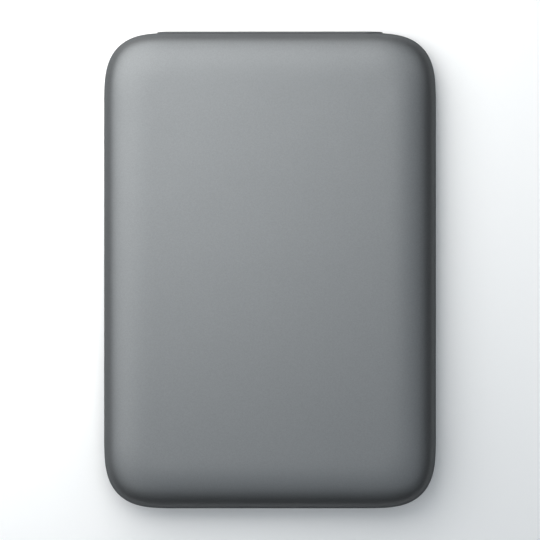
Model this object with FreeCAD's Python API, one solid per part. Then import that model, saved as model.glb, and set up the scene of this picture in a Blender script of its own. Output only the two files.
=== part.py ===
import FreeCAD, Part
import os

# Portable solid state drive, lying on its back with the front face up.
# A pebble-shaped case of two covers holds a board with a socketed flash module.
# All sizes are in millimetres. X is the width, +Y points to the port end, +Z is up.

Vector = FreeCAD.Vector
ALONG_X = Vector(1, 0, 0)
ALONG_Y = Vector(0, 1, 0)
ALONG_Z = Vector(0, 0, 1)
PARALLEL_LIMIT = 0.01  # sine of the angle within which an edge counts as parallel

# Case
body_width = 54.3
body_length = 77.8
body_height = 10.6
part_line = 5.3  # height of the seam between the covers
rim_band = 1.7  # upright stretch of each cover beside the seam
top_edge_run = 7.9  # how far the rounded edge reaches in over the front face
base_edge_run = 6.4  # the same over the base
corner_reach = 12.1  # how far a corner's curve runs along each side
corner_far_share = 0.48  # poles of the corner curve, as shares of its reach
corner_near_share = 0.27
edge_far_share = 0.66  # poles of the rounded edge's section, as shares of its run and rise
edge_near_share = 0.35
wall = 1.3
seam_groove = 0.15
fit_gap = 0.08
rib_thickness = 0.8
rib_height = 0.9

# Lap joint of the covers, with snap beads
lip_thickness = 0.55
lip_height = 0.9
bead_radius = 0.4
bead_sink = 0.2  # how deep a bead's axis lies behind the lip's face
bead_length = 5.0
side_bead_pitch = 19.0
side_bead_count = 3
end_bead_pitch = 18.0
end_bead_count = 2

# Port panel, which stands a little proud of the end
panel_width = 37.0
panel_height = 5.4
panel_proud = 0.2
panel_edge_round = 0.15
port_wall = 1.8  # thickness of the end wall round the panel
port_wall_margin = 2.5  # how far that thick wall runs past the panel on each side
flange_side = 1.0
flange_rise = 0.55
flange_thickness = 0.8
keeper_width = 1.8  # ribs behind the flange
keeper_depth = 1.0
keeper_height = 3.0
keeper_inset = 0.2

# Data receptacle, a small reversible port
receptacle_width = 8.94
receptacle_height = 3.16
receptacle_length = 7.8
receptacle_wall = 0.3
receptacle_setback = 0.35  # mouth behind the panel's face
receptacle_base_length = 1.8
receptacle_slip = 0.03
tongue_width = 6.69
tongue_core = 0.58
tongue_setback = 0.8  # tip behind the mouth
tongue_tip_chamfer = 0.15
contact_count = 12
contact_pitch = 0.5
contact_width = 0.28
contact_thickness = 0.06
contact_setback = 0.8  # ends behind the tongue's tip
leg_width = 1.1
leg_below = 0.35  # how far a leg comes through the board
leg_gap = 0.12
front_leg_setback = 4.9  # legs' middles behind the mouth
rear_leg_setback = 6.9

# Main board
board_width = 34.0
board_thickness = 0.8
board_corner = 1.5
board_front_gap = 0.2  # behind the keeper ribs
board_rear_room = 6.6  # ahead of the rear wall
board_tail = 2.5  # least length behind the module's standoff
board_screw_inset = 2.8
front_screw_setback = 3.0  # behind the socket's mouth
rear_screw_setback = 3.0  # ahead of the board's rear edge
board_hole_gap = 0.3
post_radius = 2.1
pilot_spare = 0.3  # depth of a pilot hole past the screw's tip
screw_gap = 0.03
screw_head_radius = 1.8
screw_head_height = 1.2
screw_head_bevel = 0.4
screw_shank_radius = 0.8
screw_length = 2.6
cross_span = 2.0
cross_width = 0.5
cross_depth = 0.5

# Parts on the main board: length along X, along Y, height
bridge_size = (8.0, 8.0, 0.9)
bridge_setback = 5.6  # middles behind the board's front edge
bridge_offset = -10.4
crystal_size = (3.2, 2.5, 0.75)
crystal_offset = -2.9
firmware_size = (3.0, 2.0, 0.65)
firmware_offset = 2.3
small_parts_setback = 8.7
inductor_size = (4.0, 4.0, 2.0)
inductor_offset = 10.7
inductor_gap = 1.0
inductor_setback = 8.0
inductor_corner = 0.5
regulator_size = (3.0, 3.0, 0.8)
regulator_offset = 14.0
regulator_setback = 3.6
capacitor_size = (1.6, 0.8, 0.8)
capacitor_pitch = 2.6
capacitor_column_count = 6
capacitor_row_setback = 6.6  # first row behind the socket's mouth
capacitor_row_pitch = 13.0
capacitor_row_count = 2
light_size = (1.6, 0.9, 0.6)
light_offset = 10.5
light_setback = 1.9

# Light pipe from the activity light to the panel
pipe_radius = 0.75
pipe_gap = 0.05
pipe_setback = 0.05  # end behind the panel's face
pipe_leg = 1.5  # square leg over the light
pipe_light_gap = 0.1

# Module socket
socket_width = 24.0
socket_depth = 8.4
socket_height = 3.2
socket_setback = 20.4  # mouth behind the board's front edge
slot_gap = 0.06
key_offset = 6.1
key_width = 1.2
key_depth = 3.5
tail_pitch = 0.5
tail_width = 0.24
tail_length = 0.9
tail_height = 0.15
tail_margin = 1.4

# Flash module, whose packages stand in a row between the socket and the screw
module_width = 22.0
module_thickness = 0.8
module_lift = 1.75  # underside above the main board
module_insertion = 4.8
socket_room = 1.4  # between the socket's mouth and the first package
package_height = 1.2
controller_width = 8.0
controller_depth = 8.0
controller_room = 0.9  # between the controller and the first flash package
flash_width = 13.5
flash_depth = 11.5
flash_gap = 0.6
flash_count = 2
screw_room = 3.3  # between the last package and the module's rear edge
module_capacitor_offset = 7.4
module_capacitor_pair_count = 4
module_capacitor_pitch = 1.6
standoff_flange_radius = 2.75
standoff_boss_radius = 1.7
standoff_spigot_radius = 1.2
standoff_gap = 0.05
module_screw_head_radius = 2.4
module_screw_head_height = 0.8
module_screw_shank_radius = 0.75
module_screw_length = 2.3

# Heat path to the front cover
spreader_thickness = 0.6
spreader_lip = 1.3
spreader_inner_bend = 0.3
spreader_side_margin = 3.2  # from the edge of the front cover's flat
spreader_end_margin = 3.0
pad_width = 16.0
stake_radius = 0.8
stake_head_radius = 1.4
stake_head_height = 0.4
stake_gap = 0.05
stake_side_inset = 3.2
stake_end_inset = 4.0

# Places that follow from the sizes
body_middle = -panel_proud / 2
body_end = body_middle + body_length / 2
body_rear = body_middle - body_length / 2
panel_face = body_end + panel_proud
port_wall_inside = body_end - port_wall
flange_inside = port_wall_inside - flange_thickness
port_wall_half = panel_width / 2 + port_wall_margin
receptacle_mouth = panel_face - receptacle_setback
receptacle_rear = receptacle_mouth - receptacle_length
receptacle_base_front = receptacle_rear + receptacle_base_length
tongue_tip = receptacle_mouth - tongue_setback
board_top = part_line - receptacle_height / 2
board_bottom = board_top - board_thickness
keeper_front = flange_inside - fit_gap
board_front = keeper_front - keeper_depth - board_front_gap
lip_inset = wall - lip_thickness
socket_mouth = board_front - socket_setback
socket_rear = socket_mouth + socket_depth
light_middle = board_front - light_setback
module_front = socket_mouth + module_insertion
module_bottom = board_top + module_lift
module_top = module_bottom + module_thickness
package_top = module_top + package_height
controller_front = socket_mouth - socket_room
flash_front = controller_front - controller_depth - controller_room
packages_rear = flash_front - flash_count * flash_depth - (flash_count - 1) * flash_gap
module_rear = packages_rear - screw_room
board_rear = min(body_rear + wall + board_rear_room, module_rear - board_tail)
ceiling = body_height - wall
spreader_bottom = ceiling - spreader_thickness
spreader_half_width = body_width / 2 - top_edge_run - spreader_side_margin
spreader_half_length = body_length / 2 - top_edge_run - spreader_end_margin


def corner_poles(inset, sign_x, sign_y, z):
    """Six poles of one corner of the case outline, in order round it. Three lie on each side."""
    half_x = body_width / 2 - inset
    half_y = body_length / 2 - inset
    reach = corner_reach - inset
    shares = (1.0, corner_far_share, corner_near_share)
    on_side = [(half_x, half_y - reach * share) for share in shares]
    on_end = [(half_x - reach * share, half_y) for share in reversed(shares)]
    poles = [Vector(sign_x * x, body_middle + sign_y * y, z) for x, y in on_side + on_end]
    return poles if sign_x * sign_y > 0 else poles[::-1]


def ring(inset, z):
    """Poles of the case outline drawn in by an inset: a curve for each corner and a line for each side."""
    corners = [corner_poles(inset, sx, sy, z) for sx, sy in ((1, 1), (-1, 1), (-1, -1), (1, -1))]
    curves = []
    for corner, following in zip(corners, corners[1:] + corners[:1]):
        curves.append(corner)
        curves.append([corner[-1], following[0]])
    return curves


def upright(inset_a, z_a, inset_b, z_b):
    """Rings of a straight strip of wall."""
    return [ring(inset_a, z_a), ring(inset_b, z_b)]


def rounded(inset_a, z_a, inset_b, z_b):
    """Rings of a rounded edge, upright at the first height and level at the second."""
    run_shares = (0, 0, 0, edge_near_share, edge_far_share, 1)
    rise_shares = (0, 1 - edge_far_share, 1 - edge_near_share, 1, 1, 1)
    return [
        ring(inset_a + (inset_b - inset_a) * run, z_a + (z_b - z_a) * rise)
        for run, rise in zip(run_shares, rise_shares)
    ]


def strip_faces(rings):
    """Smooth faces through a row of rings, one for each corner and side."""
    faces = []
    for curves in zip(*rings):
        surface = Part.BezierSurface()
        surface.increase(len(curves[0]) - 1, len(curves) - 1)
        for row, poles in enumerate(curves, 1):
            for column, pole in enumerate(poles, 1):
                surface.setPole(column, row, pole)
        faces.append(surface.toShape())
    return faces


def ring_face(curves):
    """Flat face inside one ring."""
    edges = []
    for poles in curves:
        curve = Part.BezierCurve()
        curve.setPoles(poles)
        edges.append(curve.toShape())
    return Part.Face(Part.Wire(edges))


def pillow(strips):
    """Closed solid whose wall runs through the strips, with a flat face at each end."""
    faces = [ring_face(strips[0][0])]
    for rings in strips:
        faces += strip_faces(rings)
    faces.append(ring_face(strips[-1][-1]))
    shell = Part.makeShell(faces)
    shell.sewShape()
    solid = Part.makeSolid(shell)
    if solid.Volume < 0:
        solid.reverse()
    return solid


def outline_prism(inset, z_low, z_high):
    """Upright prism of the case outline, drawn in by an inset."""
    return ring_face(ring(inset, z_low)).extrude(ALONG_Z * (z_high - z_low))


def box(x_mid, y_mid, z_low, size):
    """Block of a given length, depth and height, standing on z_low about a middle."""
    length, depth, height = size
    return Part.makeBox(length, depth, height, Vector(x_mid - length / 2, y_mid - depth / 2, z_low))


def block(half_x, y_low, y_high, z_low, z_high):
    """Block across the middle plane, between two depths and two heights."""
    return Part.makeBox(2 * half_x, y_high - y_low, z_high - z_low, Vector(-half_x, y_low, z_low))


def post(x, y, z_low, z_high, radius):
    """Upright round bar."""
    return Part.makeCylinder(radius, z_high - z_low, Vector(x, y, z_low), ALONG_Z)


def stadium(width, height, y_low, y_high):
    """Bar along Y with round sides, centred on the seam."""
    radius = height / 2
    flat = width / 2 - radius
    top_right = Vector(flat, y_low, part_line + radius)
    top_left = Vector(-flat, y_low, part_line + radius)
    low_left = Vector(-flat, y_low, part_line - radius)
    low_right = Vector(flat, y_low, part_line - radius)
    edges = [
        Part.LineSegment(top_right, top_left).toShape(),
        Part.Arc(top_left, Vector(-width / 2, y_low, part_line), low_left).toShape(),
        Part.LineSegment(low_left, low_right).toShape(),
        Part.Arc(low_right, Vector(width / 2, y_low, part_line), top_right).toShape(),
    ]
    return Part.Face(Part.Wire(edges)).extrude(ALONG_Y * (y_high - y_low))


def merged(shapes):
    """One solid from pieces that overlap or meet."""
    first, *others = shapes
    return first.multiFuse(others).removeSplitter()


def edges_along(solid, direction):
    """Edges that start off along a direction, either way."""
    return [
        edge for edge in solid.Edges
        if edge.tangentAt(edge.FirstParameter).cross(direction).Length < PARALLEL_LIMIT
    ]


def centred(count, pitch):
    """Evenly spaced places about zero."""
    return [(index - (count - 1) / 2) * pitch for index in range(count)]


def board_screw_rows():
    return socket_mouth - front_screw_setback, board_rear + rear_screw_setback


def board_screw_places():
    half = board_width / 2 - board_screw_inset
    return [(side * half, y) for y in board_screw_rows() for side in (-1, 1)]


def snap_beads(radius, length):
    """Rods along the lip: a row on each long side and a row on the rear end."""
    reach = lip_inset + bead_sink
    z = part_line + lip_height / 2
    side_x = body_width / 2 - reach
    rods = []
    for place in centred(side_bead_count, side_bead_pitch):
        y = body_middle + place - length / 2
        starts = [Vector(side * side_x, y, z) for side in (-1, 1)]
        rods += [Part.makeCylinder(radius, length, start, ALONG_Y) for start in starts]
    for place in centred(end_bead_count, end_bead_pitch):
        start = Vector(place - length / 2, body_rear + reach, z)
        rods.append(Part.makeCylinder(radius, length, start, ALONG_X))
    return rods


def port_end(y_low, half_width):
    """Block over the port end of the case."""
    return block(half_width, y_low, panel_face + wall, -wall, body_height + wall)


def panel_recess():
    """Room in the covers for the port panel and its flange."""
    plug = stadium(panel_width + 2 * fit_gap, panel_height + 2 * fit_gap, flange_inside, panel_face + wall)
    flange_width = panel_width + 2 * (flange_side + fit_gap)
    flange_height = panel_height + 2 * (flange_rise + fit_gap)
    return plug.fuse(stadium(flange_width, flange_height, keeper_front, port_wall_inside))


def stake_places():
    half_x = spreader_half_width - stake_side_inset
    half_y = spreader_half_length - stake_end_inset
    return [(sx * half_x, body_middle + sy * half_y) for sx in (-1, 1) for sy in (-1, 1)]


def make_top_cover():
    """Front cover: a thin pillow with a rebate for the lip and stakes for the heat spreader."""
    band_top = part_line + rim_band
    outside = pillow([
        upright(seam_groove, part_line, 0, part_line + seam_groove),
        upright(0, part_line + seam_groove, 0, band_top),
        rounded(0, band_top, top_edge_run, body_height),
    ])
    inside = pillow([
        upright(wall, part_line - wall, wall, band_top),
        rounded(wall, band_top, top_edge_run, ceiling),
    ])
    rebate = outline_prism(lip_inset - fit_gap, part_line - wall, part_line + lip_height + fit_gap)
    cavity = inside.fuse(rebate).cut(port_end(port_wall_inside, port_wall_half))
    grooves = snap_beads(bead_radius + fit_gap, bead_length + 2 * fit_gap)
    cover = outside.cut(cavity).cut(panel_recess()).cut(grooves)
    stakes = []
    for x, y in stake_places():
        tip = spreader_bottom - stake_head_height
        stakes.append(post(x, y, tip, ceiling + wall / 2, stake_radius))
        stakes.append(post(x, y, tip, spreader_bottom, stake_head_radius))
    return merged([cover] + stakes)


def make_lip():
    """Upright lip with snap beads. It leaves out the port end."""
    lip = outline_prism(lip_inset, part_line - lip_height / 2, part_line + lip_height)
    lip = lip.fuse(snap_beads(bead_radius, bead_length))
    lip = lip.cut(outline_prism(wall, part_line - lip_height, part_line + 2 * lip_height))
    return lip.cut(port_end(port_wall_inside - wall, port_wall_half + fit_gap))


def make_base_ribs():
    """Low ribs that tie the screw posts together."""
    half = board_width / 2 - board_screw_inset
    front, rear = board_screw_rows()
    low = wall / 2
    height = wall - low + rib_height
    long_size = (rib_thickness, front - rear, height)
    cross_size = (2 * half, rib_thickness, height)
    ribs = [box(side * half, (front + rear) / 2, low, long_size) for side in (-1, 1)]
    return ribs + [box(0, y, low, cross_size) for y in (front, rear)]


def make_bottom_cover():
    """Rear cover: a thin pillow with the lip, screw posts, ribs and the panel's keepers."""
    band_low = part_line - rim_band
    outside = pillow([
        upright(seam_groove, part_line, 0, part_line - seam_groove),
        upright(0, part_line - seam_groove, 0, band_low),
        rounded(0, band_low, base_edge_run, 0),
    ])
    inside = pillow([
        upright(wall, part_line + wall, wall, band_low),
        rounded(wall, band_low, base_edge_run, wall),
    ])
    shell = outside.cut(inside.cut(port_end(port_wall_inside, port_wall_half)))
    posts = [post(x, y, wall / 2, board_bottom, post_radius) for x, y in board_screw_places()]
    keepers = []
    for side in (-1, 1):
        x = side * (panel_width / 2 + flange_side - keeper_inset - keeper_width / 2)
        keeper = box(x, keeper_front - keeper_depth / 2, wall, (keeper_width, keeper_depth, keeper_height))
        keepers.append(keeper.common(outside))
    cover = merged([shell, make_lip()] + posts + keepers + make_base_ribs())
    pilot_low = board_top - screw_length - pilot_spare
    pilot_radius = screw_shank_radius + screw_gap
    pilots = [post(x, y, pilot_low, board_bottom + wall, pilot_radius) for x, y in board_screw_places()]
    return cover.cut(panel_recess()).cut(pilots).removeSplitter()


def make_port_panel():
    """Insert with the port's opening and the light's window, held by a flange behind the covers."""
    plug = stadium(panel_width, panel_height, port_wall_inside, panel_face)
    front_edges = [edge for edge in plug.Edges if edge.BoundBox.YMin > panel_face - fit_gap]
    plug = plug.makeFillet(panel_edge_round, front_edges)
    flange_width = panel_width + 2 * flange_side
    flange = stadium(flange_width, panel_height + 2 * flange_rise, flange_inside, port_wall_inside)
    start = flange_inside - wall
    end = panel_face + wall
    opening = stadium(receptacle_width + 2 * fit_gap, receptacle_height + 2 * fit_gap, start, end)
    window_start = Vector(light_offset, start, part_line)
    window = Part.makeCylinder(pipe_radius + pipe_gap, end - start, window_start, ALONG_Y)
    return merged([plug, flange]).cut([opening, window])


def make_light_pipe():
    """Clear rod that turns down to the light on the board, with a sloping mirror face at the bend."""
    rear = light_middle - pipe_leg / 2
    length = panel_face - pipe_setback - rear
    rod = Part.makeCylinder(pipe_radius, length, Vector(light_offset, rear, part_line), ALONG_Y)
    leg_bottom = board_top + light_size[2] + pipe_light_gap
    leg = box(light_offset, light_middle, leg_bottom, (pipe_leg, pipe_leg, part_line - leg_bottom))
    mirror_low = Vector(light_offset - pipe_leg, rear, part_line)
    mirror = Part.Face(Part.makePolygon([
        mirror_low,
        mirror_low + Vector(0, pipe_radius, pipe_radius),
        mirror_low + Vector(0, 0, pipe_radius),
        mirror_low,
    ])).extrude(ALONG_X * 2 * pipe_leg)
    return merged([rod, leg]).cut(mirror)


def leg_places():
    x = receptacle_width / 2 - receptacle_wall / 2
    rows = (receptacle_mouth - front_leg_setback, receptacle_mouth - rear_leg_setback)
    return [(side * x, y) for y in rows for side in (-1, 1)]


def make_receptacle_shell():
    """Drawn metal shell of the receptacle, with four legs for the board."""
    outside = stadium(receptacle_width, receptacle_height, receptacle_rear, receptacle_mouth)
    inside_width = receptacle_width - 2 * receptacle_wall
    inside_height = receptacle_height - 2 * receptacle_wall
    inside = stadium(inside_width, inside_height, receptacle_rear - wall, receptacle_mouth + wall)
    leg_bottom = board_bottom - leg_below
    leg_size = (receptacle_wall, leg_width, part_line - leg_bottom)
    legs = [box(x, y, leg_bottom, leg_size) for x, y in leg_places()]
    return merged([outside] + legs).cut(inside)


def make_receptacle_insulator():
    """Moulding that closes the receptacle's rear and carries the tongue."""
    width = receptacle_width - 2 * (receptacle_wall + receptacle_slip)
    height = receptacle_height - 2 * (receptacle_wall + receptacle_slip)
    base = stadium(width, height, receptacle_rear, receptacle_base_front)
    low = part_line - tongue_core / 2
    tongue = block(tongue_width / 2, receptacle_rear, tongue_tip, low, low + tongue_core)
    cross_edges = edges_along(tongue, ALONG_X)
    tip_edges = [edge for edge in cross_edges if edge.BoundBox.YMin > receptacle_base_front]
    return merged([base, tongue.makeChamfer(tongue_tip_chamfer, tip_edges)])


def make_receptacle_contacts():
    """Two rows of contact strips on the tongue."""
    length = tongue_tip - contact_setback - receptacle_base_front
    size = (contact_width, length, contact_thickness)
    levels = (part_line + tongue_core / 2, part_line - tongue_core / 2 - contact_thickness)
    return Part.makeCompound([
        box(x, receptacle_base_front + length / 2, z, size)
        for z in levels for x in centred(contact_count, contact_pitch)
    ])


def make_main_board():
    """Board with its screw holes, the standoff's hole and slots for the receptacle's legs."""
    low = board_bottom - wall
    high = board_top + wall
    board = block(board_width / 2, board_rear, board_front, board_bottom, board_top)
    board = board.makeFillet(board_corner, edges_along(board, ALONG_Z))
    hole_radius = screw_shank_radius + board_hole_gap
    holes = [post(x, y, low, high, hole_radius) for x, y in board_screw_places()]
    holes.append(post(0, module_rear, low, high, standoff_spigot_radius + standoff_gap))
    slot_size = (receptacle_wall + 2 * leg_gap, leg_width + 2 * leg_gap, high - low)
    holes += [box(x, y, low, slot_size) for x, y in leg_places()]
    return board.cut(holes)


def on_board(x, setback, size):
    """Part soldered flat on the main board, its middle that far behind the front edge."""
    return box(x, board_front - setback, board_top, size)


def make_inductors():
    """Pair of moulded inductors side by side."""
    pieces = []
    for place in centred(2, inductor_size[0] + inductor_gap):
        piece = on_board(inductor_offset + place, inductor_setback, inductor_size)
        pieces.append(piece.makeFillet(inductor_corner, edges_along(piece, ALONG_Z)))
    return Part.makeCompound(pieces)


def make_board_capacitors():
    """Rows of small capacitors on the board under the module."""
    first_row = board_front - socket_mouth + capacitor_row_setback
    rows = [first_row + index * capacitor_row_pitch for index in range(capacitor_row_count)]
    return Part.makeCompound([
        on_board(x, row, capacitor_size)
        for row in rows for x in centred(capacitor_column_count, capacitor_pitch)
    ])


def make_module_socket():
    """Socket housing with a slot for the module's edge and a key rib."""
    housing = block(socket_width / 2, socket_mouth, socket_rear, board_top, board_top + socket_height)
    slot_end = module_front + slot_gap
    low = module_bottom - slot_gap
    high = module_top + slot_gap
    slot = block(module_width / 2 + slot_gap, socket_mouth - wall, slot_end, low, high)
    rib_length = key_depth - slot_gap
    rib_size = (key_width - 2 * slot_gap, rib_length, high - low)
    return housing.cut(slot.cut(box(key_offset, slot_end - rib_length / 2, low, rib_size)))


def make_socket_contacts():
    """Row of solder tails along the socket's rear."""
    count = int((socket_width - 2 * tail_margin) / tail_pitch) + 1
    size = (tail_width, tail_length, tail_height)
    y = socket_rear + tail_length / 2
    return Part.makeCompound([box(x, y, board_top, size) for x in centred(count, tail_pitch)])


def make_module_board():
    """Module's board, with key notches in the plug edge and a half-round seat at the screw end."""
    board = block(module_width / 2, module_rear, module_front, module_bottom, module_top)
    low = module_bottom - wall
    high = module_top + wall
    seat = post(0, module_rear, low, high, standoff_boss_radius + standoff_gap)
    notch_size = (key_width, 2 * key_depth, high - low)
    notches = [box(side * key_offset, module_front, low, notch_size) for side in (-1, 1)]
    return board.cut([seat] + notches)


def make_flash_controller():
    size = (controller_width, controller_depth, package_height)
    return box(0, controller_front - controller_depth / 2, module_top, size)


def make_flash_package(index):
    y = flash_front - flash_depth / 2 - index * (flash_depth + flash_gap)
    return box(0, y, module_top, (flash_width, flash_depth, package_height))


def make_module_capacitors():
    """Two columns of small capacitors beside the controller."""
    middle = controller_front - controller_depth / 2
    return Part.makeCompound([
        box(side * module_capacitor_offset, middle + place, module_top, capacitor_size)
        for place in centred(module_capacitor_pair_count, module_capacitor_pitch) for side in (-1, 1)
    ])


def make_module_standoff():
    """Turned nut: a spigot in the board, a flange that carries the module and a boss in its seat."""
    flange = post(0, module_rear, board_top, module_bottom, standoff_flange_radius)
    boss = post(0, module_rear, module_bottom, module_top, standoff_boss_radius)
    spigot = post(0, module_rear, board_bottom, board_top, standoff_spigot_radius)
    bore_radius = module_screw_shank_radius + screw_gap
    bore = post(0, module_rear, board_bottom - wall, module_top + wall, bore_radius)
    return merged([flange, boss, spigot]).cut(bore)


def screw(x, y, seat, head_radius, head_height, shank_radius, length):
    """Pan head screw with a cross recess. The head stands on the seat."""
    head = post(x, y, seat, seat + head_height, head_radius)
    rim = [edge for edge in head.Edges if edge.BoundBox.ZMin > seat + head_height / 2]
    head = head.makeChamfer(screw_head_bevel, rim)
    solid = merged([head, post(x, y, seat - length, seat, shank_radius)])
    recess_low = seat + head_height - cross_depth
    arm = (cross_span, cross_width, head_height)
    cross_arm = (cross_width, cross_span, head_height)
    return solid.cut([box(x, y, recess_low, arm), box(x, y, recess_low, cross_arm)])


def make_board_screws():
    return Part.makeCompound([
        screw(x, y, board_top, screw_head_radius, screw_head_height, screw_shank_radius, screw_length)
        for x, y in board_screw_places()
    ])


def make_module_screw():
    return screw(
        0, module_rear, module_top, module_screw_head_radius, module_screw_head_height,
        module_screw_shank_radius, module_screw_length,
    )


def folded_sheet(half_width, y_low, y_high, low, high, bend):
    """Block along Y whose two upper long edges are rounded."""
    solid = block(half_width, y_low, y_high, low, high)
    bends = [edge for edge in edges_along(solid, ALONG_Y) if edge.BoundBox.ZMin > (low + high) / 2]
    return solid.makeFillet(bend, bends)


def make_heat_spreader():
    """Aluminium sheet under the front cover, with both long edges folded down."""
    low = spreader_bottom - spreader_lip
    rear = body_middle - spreader_half_length
    front = body_middle + spreader_half_length
    outer_bend = spreader_inner_bend + spreader_thickness
    inner_half = spreader_half_width - spreader_thickness
    outside = folded_sheet(spreader_half_width, rear, front, low, ceiling, outer_bend)
    inside = folded_sheet(
        inner_half, rear - wall, front + wall, low - wall, spreader_bottom, spreader_inner_bend
    )
    holes = [post(x, y, low, ceiling + wall, stake_radius + stake_gap) for x, y in stake_places()]
    return outside.cut(inside).cut(holes)


def make_thermal_pad():
    """Soft pad between the module's packages and the heat spreader."""
    return block(pad_width / 2, packages_rear, controller_front, package_top, spreader_bottom)


def make_parts():
    parts = {
        "top_cover": make_top_cover(),
        "bottom_cover": make_bottom_cover(),
        "port_panel": make_port_panel(),
        "light_pipe": make_light_pipe(),
        "receptacle_shell": make_receptacle_shell(),
        "receptacle_insulator": make_receptacle_insulator(),
        "receptacle_contacts": make_receptacle_contacts(),
        "main_board": make_main_board(),
        "bridge_chip": on_board(bridge_offset, bridge_setback, bridge_size),
        "firmware_chip": on_board(firmware_offset, small_parts_setback, firmware_size),
        "clock_crystal": on_board(crystal_offset, small_parts_setback, crystal_size),
        "power_inductors": make_inductors(),
        "power_regulator": on_board(regulator_offset, regulator_setback, regulator_size),
        "board_capacitors": make_board_capacitors(),
        "activity_light": on_board(light_offset, light_setback, light_size),
        "module_socket": make_module_socket(),
        "socket_contacts": make_socket_contacts(),
        "module_board": make_module_board(),
        "flash_controller": make_flash_controller(),
        "module_capacitors": make_module_capacitors(),
        "module_standoff": make_module_standoff(),
        "module_screw": make_module_screw(),
        "board_screws": make_board_screws(),
        "heat_spreader": make_heat_spreader(),
        "thermal_pad": make_thermal_pad(),
    }
    for index in range(flash_count):
        parts[f"flash_package_{index + 1}"] = make_flash_package(index)
    return parts


os.makedirs("parts", exist_ok=True)
for name, shape in make_parts().items():
    print(f"{name}: {len(shape.Solids)} solids, valid {shape.isValid()}, {shape.Volume:.2f} mm3")
    shape.exportStep(f"parts/{name}.step")
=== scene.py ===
import math

import bmesh
import bpy
from mathutils import Matrix, Vector


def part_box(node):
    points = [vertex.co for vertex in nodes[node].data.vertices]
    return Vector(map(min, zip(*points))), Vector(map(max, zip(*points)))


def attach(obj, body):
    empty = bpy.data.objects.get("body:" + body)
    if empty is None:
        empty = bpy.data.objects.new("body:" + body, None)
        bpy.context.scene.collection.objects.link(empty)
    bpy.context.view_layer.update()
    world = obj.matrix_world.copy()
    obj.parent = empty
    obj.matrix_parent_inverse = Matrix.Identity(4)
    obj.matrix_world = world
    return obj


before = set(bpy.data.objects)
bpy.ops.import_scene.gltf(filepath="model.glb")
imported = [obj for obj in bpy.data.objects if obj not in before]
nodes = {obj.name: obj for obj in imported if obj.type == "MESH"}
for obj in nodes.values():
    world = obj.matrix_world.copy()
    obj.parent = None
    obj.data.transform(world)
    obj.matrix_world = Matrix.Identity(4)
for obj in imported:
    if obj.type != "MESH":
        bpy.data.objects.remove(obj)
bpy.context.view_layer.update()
millimetre = 0.001
midTone = 0.5  # textures run from 0 to 1 about this
black = (0.0, 0.0, 0.0, 1.0)
print("frame:", len(nodes), "pieces of the drive")


# a socket that can be used in sums
class Signal:
    def __init__(self, finish, socket):
        self.finish = finish
        self.socket = socket

    def join(self, operation, first, second):
        return self.finish.add("ShaderNodeMath", {"operation": operation}, {0: first, 1: second})

    def __add__(self, other):
        return self.join("ADD", self, other)

    def __radd__(self, other):
        return self.join("ADD", other, self)

    def __sub__(self, other):
        return self.join("SUBTRACT", self, other)

    def __rsub__(self, other):
        return self.join("SUBTRACT", other, self)

    def __mul__(self, other):
        return self.join("MULTIPLY", self, other)

    def __rmul__(self, other):
        return self.join("MULTIPLY", other, self)

    # a texture's sway to each side is half the spread
    def sway(self, spread):
        return (self - midTone) * spread


# the nodes of one material, or of the room
class Finish:
    def __init__(self, owner):
        owner.use_nodes = True
        self.owner = owner
        self.tree = owner.node_tree
        self.tree.nodes.clear()

    def add(self, kind, settings=None, inputs=None, output=0):
        made = self.tree.nodes.new(kind)
        for key, value in (settings or {}).items():
            setattr(made, key, value)
        for key, value in (inputs or {}).items():
            socket = made.inputs[key]
            if isinstance(value, Signal):
                self.tree.links.new(value.socket, socket)
            else:
                socket.default_value = value
        return Signal(self, made.outputs[output]) if len(made.outputs) else None

    def place(self):
        return self.add("ShaderNodeTexCoord", output="Object")

    def rays(self, kind):
        return self.add("ShaderNodeLightPath", output=kind)

    # 1 for what is seen straight, mirrored or through clear plastic
    def seen(self):
        mirrored = self.rays("Is Glossy Ray") + self.rays("Is Transmission Ray")
        return self.rays("Is Camera Ray") + mirrored

    def noise(self, size, detail=2.0, place=None):
        inputs = {"Vector": place or self.place(), "Scale": 1 / size, "Detail": detail}
        return self.add("ShaderNodeTexNoise", inputs=inputs, output="Fac")

    # a random grey for each small cell
    def flakes(self, size):
        inputs = {"Vector": self.place(), "Scale": 1 / size}
        colours = self.add("ShaderNodeTexVoronoi", inputs=inputs, output="Color")
        return self.add("ShaderNodeSeparateColor", inputs={0: colours})

    def weave(self, size):
        inputs = {"Vector": self.place(), "Scale": 1 / size}
        return self.add("ShaderNodeTexChecker", inputs=inputs, output="Fac")

    def stretched(self, stretch):
        return self.add("ShaderNodeMapping", inputs={"Vector": self.place(), "Scale": stretch})

    # 0 at start and 1 at end
    def span(self, value, start, end):
        inputs = {"Value": value, "From Min": start, "From Max": end}
        return self.add("ShaderNodeMapRange", inputs=inputs)

    def blend(self, factor, first, second):
        inputs = {0: factor, 6: first, 7: second}
        return self.add("ShaderNodeMix", {"data_type": "RGBA"}, inputs, output=2)

    def toned(self, tone, colour, darkest, palest):
        return self.blend(tone, shade(colour, darkest), shade(colour, palest))

    def bump(self, height, depth):
        inputs = {"Height": height, "Distance": depth, "Strength": 1.0}
        return self.add("ShaderNodeBump", inputs=inputs)

    def surface(self, **inputs):
        named = {key.replace("_", " "): value for key, value in inputs.items()}
        shader = self.add("ShaderNodeBsdfPrincipled", inputs=named)
        self.add("ShaderNodeOutputMaterial", inputs={"Surface": shader})
        return self.owner


def newFinish(name):
    return Finish(bpy.data.materials.new(name))


def shade(colour, factor):
    return tuple(channel * factor for channel in colour[:3]) + (1.0,)


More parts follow.
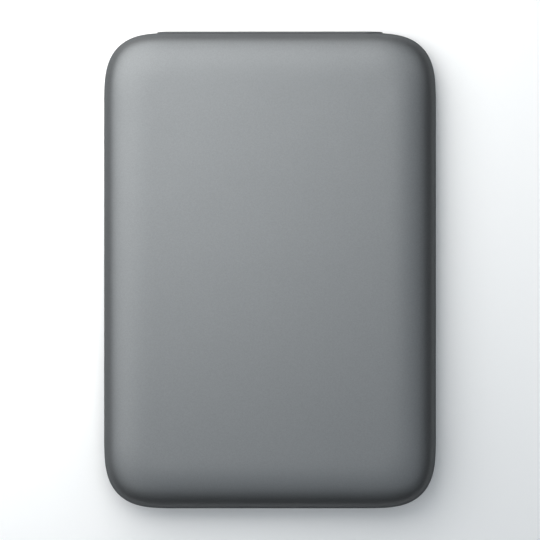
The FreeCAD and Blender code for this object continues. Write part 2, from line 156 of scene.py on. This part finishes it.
# satin metallic paint of both covers: fine flakes under a slightly uneven film
casePaint = {
    "colour": (0.2085, 0.2175, 0.224, 1.0),
    "darkest": 0.5,
    "palest": 1.5,
    "edgeTint": (0.15, 0.15, 0.15, 1.0),  # below this the shine at low angles turns ragged
    "flakeSize": 0.11 * millimetre,
    "flakeSpread": 0.1,
    "flakeDepth": 0.0015 * millimetre,
    "cloudSize": 9 * millimetre,
    "cloudSpread": 0.03,
    "filmSize": 0.5 * millimetre,
    "filmDepth": 0.0012 * millimetre,
    "roughness": 0.455,
    "roughnessSpread": 0.05,
}


def makeCasePaint():
    paint = casePaint
    finish = newFinish("casePaint")
    flake = finish.flakes(paint["flakeSize"])
    cloud = finish.noise(paint["cloudSize"])
    film = finish.noise(paint["filmSize"])
    tone = flake.sway(paint["flakeSpread"]) + cloud.sway(paint["cloudSpread"]) + midTone
    height = film * paint["filmDepth"] + flake * paint["flakeDepth"]
    return finish.surface(
        Base_Color=finish.toned(tone, paint["colour"], paint["darkest"], paint["palest"]),
        Metallic=1.0,
        Roughness=cloud.sway(paint["roughnessSpread"]) + paint["roughness"],
        Specular_Tint=paint["edgeTint"],
        Normal=finish.bump(height, 1.0),
    )


# fine moulded plastic of the port panel
panelPlastic = {
    "colour": (0.078, 0.083, 0.087, 1.0),
    "darkest": 0.85,
    "palest": 1.15,
    "grainSize": 0.12 * millimetre,
    "grainDetail": 3.0,
    "grainDepth": 0.002 * millimetre,
    "roughness": 0.46,
    "roughnessSpread": 0.12,
}


def makePanelPlastic():
    plastic = panelPlastic
    finish = newFinish("panelPlastic")
    grain = finish.noise(plastic["grainSize"], plastic["grainDetail"])
    return finish.surface(
        Base_Color=finish.toned(grain, plastic["colour"], plastic["darkest"], plastic["palest"]),
        Roughness=grain.sway(plastic["roughnessSpread"]) + plastic["roughness"],
        Normal=finish.bump(grain, plastic["grainDepth"]),
    )


# clear rod, a little cloudy inside
clearPipe = {
    "colour": (0.86, 0.9, 0.91, 1.0),
    "darkest": 0.92,
    "palest": 1.0,
    "cloudSize": 0.9 * millimetre,
    "roughness": 0.12,
    "roughnessSpread": 0.08,
    "refraction": 1.49,
    "clearness": 0.6,
}


def makeClearPipe():
    pipe = clearPipe
    finish = newFinish("clearPipe")
    cloud = finish.noise(pipe["cloudSize"])
    return finish.surface(
        Base_Color=finish.toned(cloud, pipe["colour"], pipe["darkest"], pipe["palest"]),
        Roughness=cloud.sway(pipe["roughnessSpread"]) + pipe["roughness"],
        IOR=pipe["refraction"],
        Transmission_Weight=pipe["clearness"],
    )


# lacquered board: woven glass shows through, and copper tracks lift the lacquer
boardLacquer = {
    "colour": (0.012, 0.075, 0.036, 1.0),
    "weaveSize": 0.5 * millimetre,
    "weaveShade": 1.15,
    "track": (0.022, 0.13, 0.055, 1.0),
    "trackSize": 1.3 * millimetre,
    "trackDetail": 0.0,
    "trackStretch": (1.0, 0.25, 1.0),
    "trackStart": 0.52,
    "trackEnd": 0.54,
    "trackDepth": 0.02 * millimetre,
    "roughness": 0.34,
    "trackGloss": 0.08,
}


def makeBoardLacquer():
    lacquer = boardLacquer
    finish = newFinish("boardLacquer")
    along = finish.stretched(lacquer["trackStretch"])
    runs = finish.noise(lacquer["trackSize"], lacquer["trackDetail"], along)
    track = finish.span(runs, lacquer["trackStart"], lacquer["trackEnd"])
    weave = finish.weave(lacquer["weaveSize"])
    ground = finish.toned(weave, lacquer["colour"], 1.0, lacquer["weaveShade"])
    return finish.surface(
        Base_Color=finish.blend(track, ground, lacquer["track"]),
        Roughness=lacquer["roughness"] - track * lacquer["trackGloss"],
        Normal=finish.bump(track, lacquer["trackDepth"]),
    )


# drawn, rolled or turned metal, with fine lines along the way that it was worked
rolledMetal = {
    "darkest": 0.82,
    "palest": 1.12,
    "lineSize": 0.05 * millimetre,
    "lineDetail": 3.0,
    "lineSpread": 0.6,
    "lineDepth": 0.0006 * millimetre,
    "stainSize": 3 * millimetre,
    "stainSpread": 0.3,
    "roughnessSpread": 0.2,
}
drawn = (8.0, 1.0, 1.0)  # finer across X, so the lines run lengthwise
turned = (1.0, 1.0, 8.0)  # finer along Z, so the lines run round
metals = {
    "shellNickel": {"colour": (0.62, 0.61, 0.59, 1.0), "roughness": 0.28, "lines": drawn},
    "screwZinc": {"colour": (0.5, 0.5, 0.51, 1.0), "roughness": 0.36, "lines": drawn},
    "contactGold": {"colour": (0.83, 0.6, 0.24, 1.0), "roughness": 0.25, "lines": drawn},
    "standoffBrass": {"colour": (0.71, 0.54, 0.27, 1.0), "roughness": 0.3, "lines": turned},
    "spreaderSheet": {"colour": (0.74, 0.75, 0.76, 1.0), "roughness": 0.38, "lines": drawn},
}


def makeRolledMetal(name, metal):
    worked = rolledMetal
    finish = newFinish(name)
    along = finish.stretched(metal["lines"])
    lines = finish.noise(worked["lineSize"], worked["lineDetail"], along)
    stains = finish.noise(worked["stainSize"])
    tone = lines.sway(worked["lineSpread"]) + stains.sway(worked["stainSpread"]) + midTone
    return finish.surface(
        Base_Color=finish.toned(tone, metal["colour"], worked["darkest"], worked["palest"]),
        Metallic=1.0,
        Roughness=lines.sway(worked["roughnessSpread"]) + metal["roughness"],
        Normal=finish.bump(lines, worked["lineDepth"]),
    )


# plain stuff with a fine grain: resin of chips and connectors, fired ceramic, pad and lamp
resinGrain = {
    "darkest": 0.6,
    "palest": 1.6,
    "size": 0.07 * millimetre,
    "detail": 3.0,
    "depth": 0.004 * millimetre,
    "roughnessSpread": 0.2,
}
ceramicGrain = {
    "darkest": 0.7,
    "palest": 1.3,
    "size": 0.09 * millimetre,
    "detail": 4.0,
    "depth": 0.002 * millimetre,
    "roughnessSpread": 0.15,
}
grained = {
    "blackMoulding": {"colour": (0.018, 0.018, 0.019, 1.0), "roughness": 0.5, "grain": resinGrain},
    "chipResin": {"colour": (0.015, 0.015, 0.017, 1.0), "roughness": 0.6, "grain": resinGrain},
    "coilFerrite": {"colour": (0.05, 0.05, 0.053, 1.0), "roughness": 0.55, "grain": ceramicGrain},
    "capacitorCeramic": {"colour": (0.4, 0.27, 0.16, 1.0), "roughness": 0.4, "grain": ceramicGrain},
    "padSilicone": {"colour": (0.3, 0.42, 0.55, 1.0), "roughness": 0.7, "grain": ceramicGrain},
    "lampBody": {"colour": (0.86, 0.83, 0.7, 1.0), "roughness": 0.3, "grain": ceramicGrain},
}


def makeGrained(name, stuff):
    grain = stuff["grain"]
    finish = newFinish(name)
    speck = finish.noise(grain["size"], grain["detail"])
    return finish.surface(
        Base_Color=finish.toned(speck, stuff["colour"], grain["darkest"], grain["palest"]),
        Roughness=speck.sway(grain["roughnessSpread"]) + stuff["roughness"],
        Normal=finish.bump(speck, grain["depth"]),
    )


finishes = {
    "casePaint": makeCasePaint(),
    "panelPlastic": makePanelPlastic(),
    "clearPipe": makeClearPipe(),
    "boardLacquer": makeBoardLacquer(),
}
for name, metal in metals.items():
    finishes[name] = makeRolledMetal(name, metal)
for name, stuff in grained.items():
    finishes[name] = makeGrained(name, stuff)

worn = {
    "casePaint": ["top_cover", "bottom_cover"],
    "panelPlastic": ["port_panel"],
    "clearPipe": ["light_pipe"],
    "shellNickel": ["receptacle_shell", "clock_crystal"],
    "blackMoulding": ["receptacle_insulator", "module_socket"],
    "contactGold": ["receptacle_contacts", "socket_contacts"],
    "boardLacquer": ["main_board", "module_board"],
    "chipResin": [
        "bridge_chip", "firmware_chip", "power_regulator",
        "flash_controller", "flash_package_1", "flash_package_2",
    ],
    "coilFerrite": ["power_inductors"],
    "capacitorCeramic": ["board_capacitors", "module_capacitors"],
    "lampBody": ["activity_light"],
    "standoffBrass": ["module_standoff"],
    "screwZinc": ["module_screw", "board_screws"],
    "padSilicone": ["thermal_pad"],
    "spreaderSheet": ["heat_spreader"],
}
for finishName, pieceNames in worn.items():
    for pieceName in pieceNames:
        nodes[pieceName].material_slots[0].material = finishes[finishName]
print("finishes:", len(finishes))


# from a shape made lying on its back to one that looks out of the port end
def faceOut(shape, middle):
    turn = Matrix.Translation(middle) @ Matrix.Rotation(-math.pi / 2, 4, "X")
    bmesh.ops.transform(shape, matrix=turn, verts=shape.verts[:])


def keepPiece(name, shape, finish):
    mesh = bpy.data.meshes.new(name)
    shape.to_mesh(mesh)
    shape.free()
    mesh.materials.append(finishes[finish])
    for face in mesh.polygons:
        face.use_smooth = True
    piece = bpy.data.objects.new(name, mesh)
    bpy.context.scene.collection.objects.link(piece)
    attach(piece, "root")


# rolled edge round the mouth of the port's shell
mouthRim = {
    "wall": 0.3 * millimetre,
    "depth": 0.13 * millimetre,
    "round": 0.12 * millimetre,
    "roundSteps": 5,
    "steps": 48,
    "sharp": 1.0,  # edges that turn more than this many radians are rounded
}


def vertsOf(made):
    return [part for part in made["geom"] if isinstance(part, bmesh.types.BMVert)]


def makeMouthRim():
    rim = mouthRim
    low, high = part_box("receptacle_shell")
    radius = (high.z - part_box("main_board")[1].z) / 2  # the shell's legs reach below the board
    flat = (high.x - low.x) / 2 - radius
    shape = bmesh.new()
    halfStep = Matrix.Rotation(math.pi / rim["steps"], 4, "Z")  # no vertex on the middle line
    circle = bmesh.ops.create_circle(shape, segments=rim["steps"], radius=radius, matrix=halfStep)
    outer = circle["verts"]
    inner = vertsOf(bmesh.ops.extrude_edge_only(shape, edges=shape.edges[:]))
    narrow = (radius - rim["wall"]) / radius
    bmesh.ops.scale(shape, vec=(narrow, narrow, 1.0), verts=inner)
    for side in (-1, 1):
        half = [vert for vert in outer + inner if vert.co.x * side > 0]
        bmesh.ops.translate(shape, vec=(side * flat, 0.0, 0.0), verts=half)
    front = vertsOf(bmesh.ops.extrude_face_region(shape, geom=shape.faces[:]))
    bmesh.ops.translate(shape, vec=(0.0, 0.0, rim["depth"]), verts=front)
    frontSet = set(front)
    ends = [e for e in shape.edges if set(e.verts) <= frontSet and len(e.link_faces) == 2]
    corners = [e for e in ends if abs(e.calc_face_angle(0.0)) > rim["sharp"]]
    bmesh.ops.bevel(
        shape, geom=corners, offset=rim["round"], offset_type="OFFSET", segments=rim["roundSteps"],
        profile=0.5, affect="EDGES", material=-1, clamp_overlap=True
    )
    bmesh.ops.recalc_face_normals(shape, faces=shape.faces[:])
    faceOut(shape, Vector(((low.x + high.x) / 2, high.y, high.z - radius)))
    keepPiece("mouthRim", shape, "shellNickel")


# shallow dome on the end of the clear rod
lightLens = {
    "rise": 0.045 * millimetre,
    "rings": 6,
    "steps": 40,
    "weld": 0.001 * millimetre,
}


def makeLightLens():
    lens = lightLens
    low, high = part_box("light_pipe")
    radius = (high.x - low.x) / 2
    ball = (radius ** 2 + lens["rise"] ** 2) / (2 * lens["rise"])  # the dome is a slice of a ball
    shape = bmesh.new()
    top = shape.verts.new((0.0, 0.0, lens["rise"]))
    bmesh.ops.spin(
        shape, geom=[top], cent=(0.0, 0.0, lens["rise"] - ball), axis=(0.0, 1.0, 0.0),
        angle=math.asin(radius / ball), steps=lens["rings"]
    )
    bmesh.ops.spin(
        shape, geom=shape.verts[:] + shape.edges[:], cent=(0.0, 0.0, 0.0), axis=(0.0, 0.0, 1.0),
        angle=2 * math.pi, steps=lens["steps"], use_merge=True
    )
    bmesh.ops.remove_doubles(shape, verts=shape.verts[:], dist=lens["weld"])
    bmesh.ops.holes_fill(shape, edges=shape.edges[:], sides=0)
    bmesh.ops.recalc_face_normals(shape, faces=shape.faces[:])
    faceOut(shape, Vector(((low.x + high.x) / 2, high.y, high.z - radius)))
    keepPiece("lightLens", shape, "clearPipe")


makeMouthRim()
makeLightLens()
print("port: rolled mouth and lens")


# pale satin floor, which takes on a pale grey glow away from the drive
floorSheet = {
    "half": 6.0,
    "colour": (0.97, 0.97, 0.97, 1.0),
    "mottleSize": 0.4,
    "mottleShade": 0.99,
    "sheen": 0.56,
    "roughness": 0.42,
    "glow": (0.62, 0.62, 0.62, 1.0),
    "glowStart": 0.07,
    "glowEnd": 0.3,
}


def makeFloor():
    sheet = floorSheet
    shape = bmesh.new()
    bmesh.ops.create_grid(shape, x_segments=1, y_segments=1, size=sheet["half"])
    mesh = bpy.data.meshes.new("floor")
    shape.to_mesh(mesh)
    shape.free()
    finish = newFinish("floorSatin")
    mottle = finish.noise(sheet["mottleSize"])
    toMiddle = {0: finish.place()}
    away = finish.add("ShaderNodeVectorMath", {"operation": "LENGTH"}, toMiddle, output="Value")
    glow = finish.span(away, sheet["glowStart"], sheet["glowEnd"]) * finish.seen()
    mesh.materials.append(finish.surface(
        Base_Color=finish.toned(mottle, sheet["colour"], sheet["mottleShade"], 1.0),
        Metallic=sheet["sheen"],
        Roughness=sheet["roughness"],
        Specular_Tint=black,
        Emission_Color=finish.blend(glow, black, sheet["glow"]),
        Emission_Strength=1.0,
    ))
    floor = bpy.data.objects.new("floor", mesh)
    bpy.context.scene.collection.objects.link(floor)


# softboxes flat over the drive: reaches as in the photograph, from over its middle,
# and one below zero starts short of the middle
softboxes = {
    "keyBox": {
        "height": 0.177, "left": 0.317, "right": 0.018, "up": 0.532, "down": 0.007,
        "radiance": 2.156, "tint": (1.0, 0.988, 0.96),
    },
    "fillBox": {
        "height": 0.178, "left": 0.37, "right": 0.195, "up": 0.364, "down": 0.172,
        "radiance": 0.49, "tint": (0.94, 1.0, 1.05),
    },
    "leftStrip": {
        "height": 0.175, "left": 0.17, "right": -0.07, "up": 0.0, "down": 0.2,
        "radiance": 0.484, "tint": (1.0, 0.988, 0.96),
    },
    "topStrip": {
        "height": 0.176, "left": 0.0, "right": 0.2, "up": 0.17, "down": -0.07,
        "radiance": 0.484, "tint": (1.0, 0.988, 0.96),
    },
    "wideBox": {
        "height": 0.179, "left": 0.872, "right": 0.154, "up": 0.309, "down": 0.15,
        "radiance": 0.141, "tint": (0.94, 1.0, 1.05),
    },
}


def makeSoftbox(name, box):
    lamp = bpy.data.lights.new(name, "AREA")
    lamp.shape = "RECTANGLE"
    lamp.size = box["left"] + box["right"]
    lamp.size_y = box["up"] + box["down"]
    lamp.color = box["tint"]
    lamp.energy = box["radiance"] * math.pi * lamp.size * lamp.size_y
    across = (box["right"] - box["left"]) / 2
    along = (box["up"] - box["down"]) / 2
    softbox = bpy.data.objects.new(name, lamp)
    softbox.location = (across, along, box["height"])
    softbox.visible_camera = False
    bpy.context.scene.collection.objects.link(softbox)


# dim room with a pale haze low down, where the floor ends
room = {
    "colour": (0.017, 0.0195, 0.022, 1.0),
    "haze": (0.62, 0.62, 0.62, 1.0),
    "hazeStart": 0.065,
    "hazeEnd": 0.05,
}


def makeRoom():
    world = bpy.data.worlds.new("room")
    finish = Finish(world)
    way = finish.add("ShaderNodeTexCoord", output="Generated")
    rise = finish.add("ShaderNodeSeparateXYZ", inputs={0: way}, output="Z")
    low = finish.span(rise, room["hazeStart"], room["hazeEnd"]) * finish.seen()
    colour = finish.blend(low, room["colour"], room["haze"])
    light = finish.add("ShaderNodeBackground", inputs={"Color": colour})
    finish.add("ShaderNodeOutputWorld", inputs={"Surface": light})
    bpy.context.scene.world = world


# the photograph looks straight down on the front face
photoView = {"frameWidth": 88.4 * millimetre, "away": 0.9, "reach": 10.0, "sensor": 36.0}


def makeCamera():
    view = photoView
    widest = (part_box("top_cover")[0].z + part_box("port_panel")[1].z) / 2
    lens = bpy.data.cameras.new("camera")
    lens.sensor_width = view["sensor"]
    lens.lens = view["sensor"] * view["away"] / view["frameWidth"]
    lens.clip_end = view["reach"]
    camera = bpy.data.objects.new("camera", lens)
    camera.location = (0.0, 0.0, widest + view["away"])
    bpy.context.scene.collection.objects.link(camera)
    bpy.context.scene.camera = camera


makeFloor()
for name, box in softboxes.items():
    makeSoftbox(name, box)
makeRoom()
makeCamera()
bpy.context.scene.view_settings.view_transform = "Standard"
print("studio: floor,", len(softboxes), "softboxes, room and camera")
